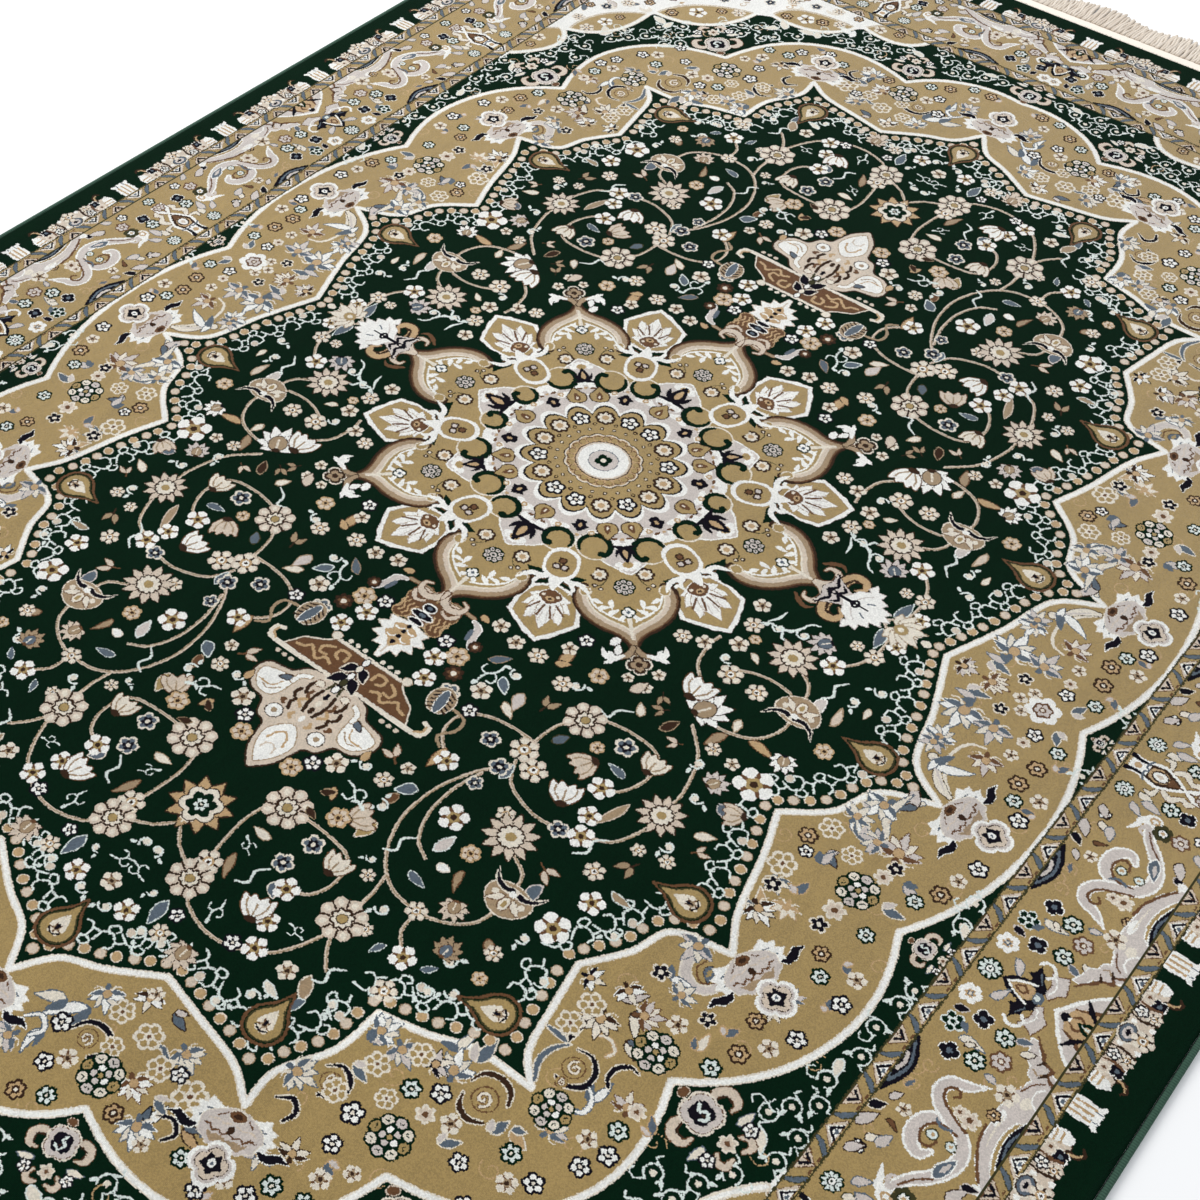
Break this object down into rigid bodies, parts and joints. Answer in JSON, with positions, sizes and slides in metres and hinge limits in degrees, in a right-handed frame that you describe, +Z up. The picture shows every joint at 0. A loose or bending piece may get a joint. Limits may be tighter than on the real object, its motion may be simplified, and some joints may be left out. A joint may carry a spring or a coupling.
{
  "type": "machine-made rug",
  "caption": "Flat rectangular medallion pile rug with overcast sides and a twisted fringe on a tape at each end.",
  "frame": {"origin": "middle of the rug's underside, on the floor", "axes": "+X across the rug, +Y along its length towards the far fringe, +Z up out of the pile"},
  "size_m": [2, 3.183, 0.01],
  "materials": {
    "pile": "cut pile with a soft sheen",
    "overcast_yarn": "wrapped yarn",
    "fringe_cotton": "twisted cotton"
  },
  "bodies": {
    "root": {"rug_body": "pile", "overcast_right": "overcast_yarn", "overcast_left": "overcast_yarn", "fringe_far": "fringe_cotton", "fringe_near": "fringe_cotton"}
  },
  "joints": []
}
